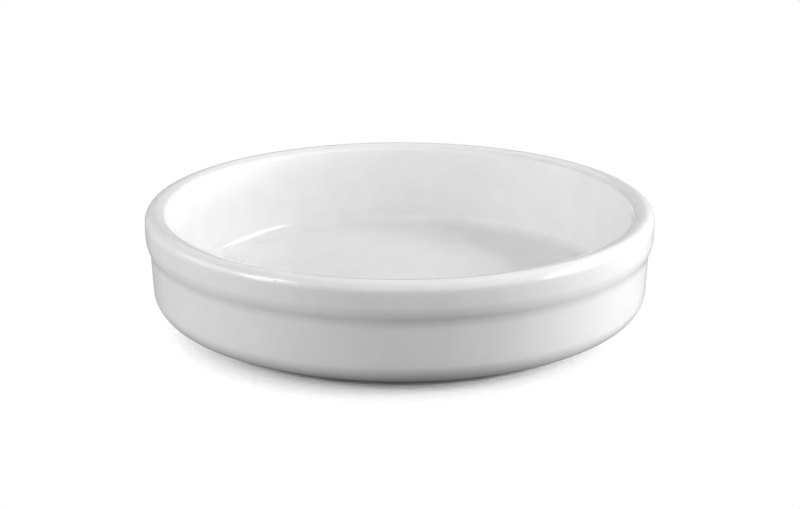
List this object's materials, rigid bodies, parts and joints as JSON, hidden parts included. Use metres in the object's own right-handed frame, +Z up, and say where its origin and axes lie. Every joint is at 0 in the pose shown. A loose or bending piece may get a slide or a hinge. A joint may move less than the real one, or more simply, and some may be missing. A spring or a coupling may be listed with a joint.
{
  "type": "creme brulee dish",
  "caption": "Shallow round white porcelain dish with a stepped collar rim, rounded lower edge and bare foot ring, for baking and serving a single custard.",
  "frame": {"origin": "centre of the circle on which the foot ring stands", "axes": "+Z up along the dish's axis of revolution, +X and +Y any two square radii"},
  "size_m": [0.127, 0.127, 0.0275],
  "materials": {
    "bare_porcelain": "fired unglazed porcelain, matt and faintly gritty",
    "white_glaze": "glossy white feldspathic glaze"
  },
  "bodies": {
    "root": {"porcelain_body": "bare_porcelain", "glaze_coat": "white_glaze", "base_glaze": "white_glaze"}
  },
  "joints": []
}
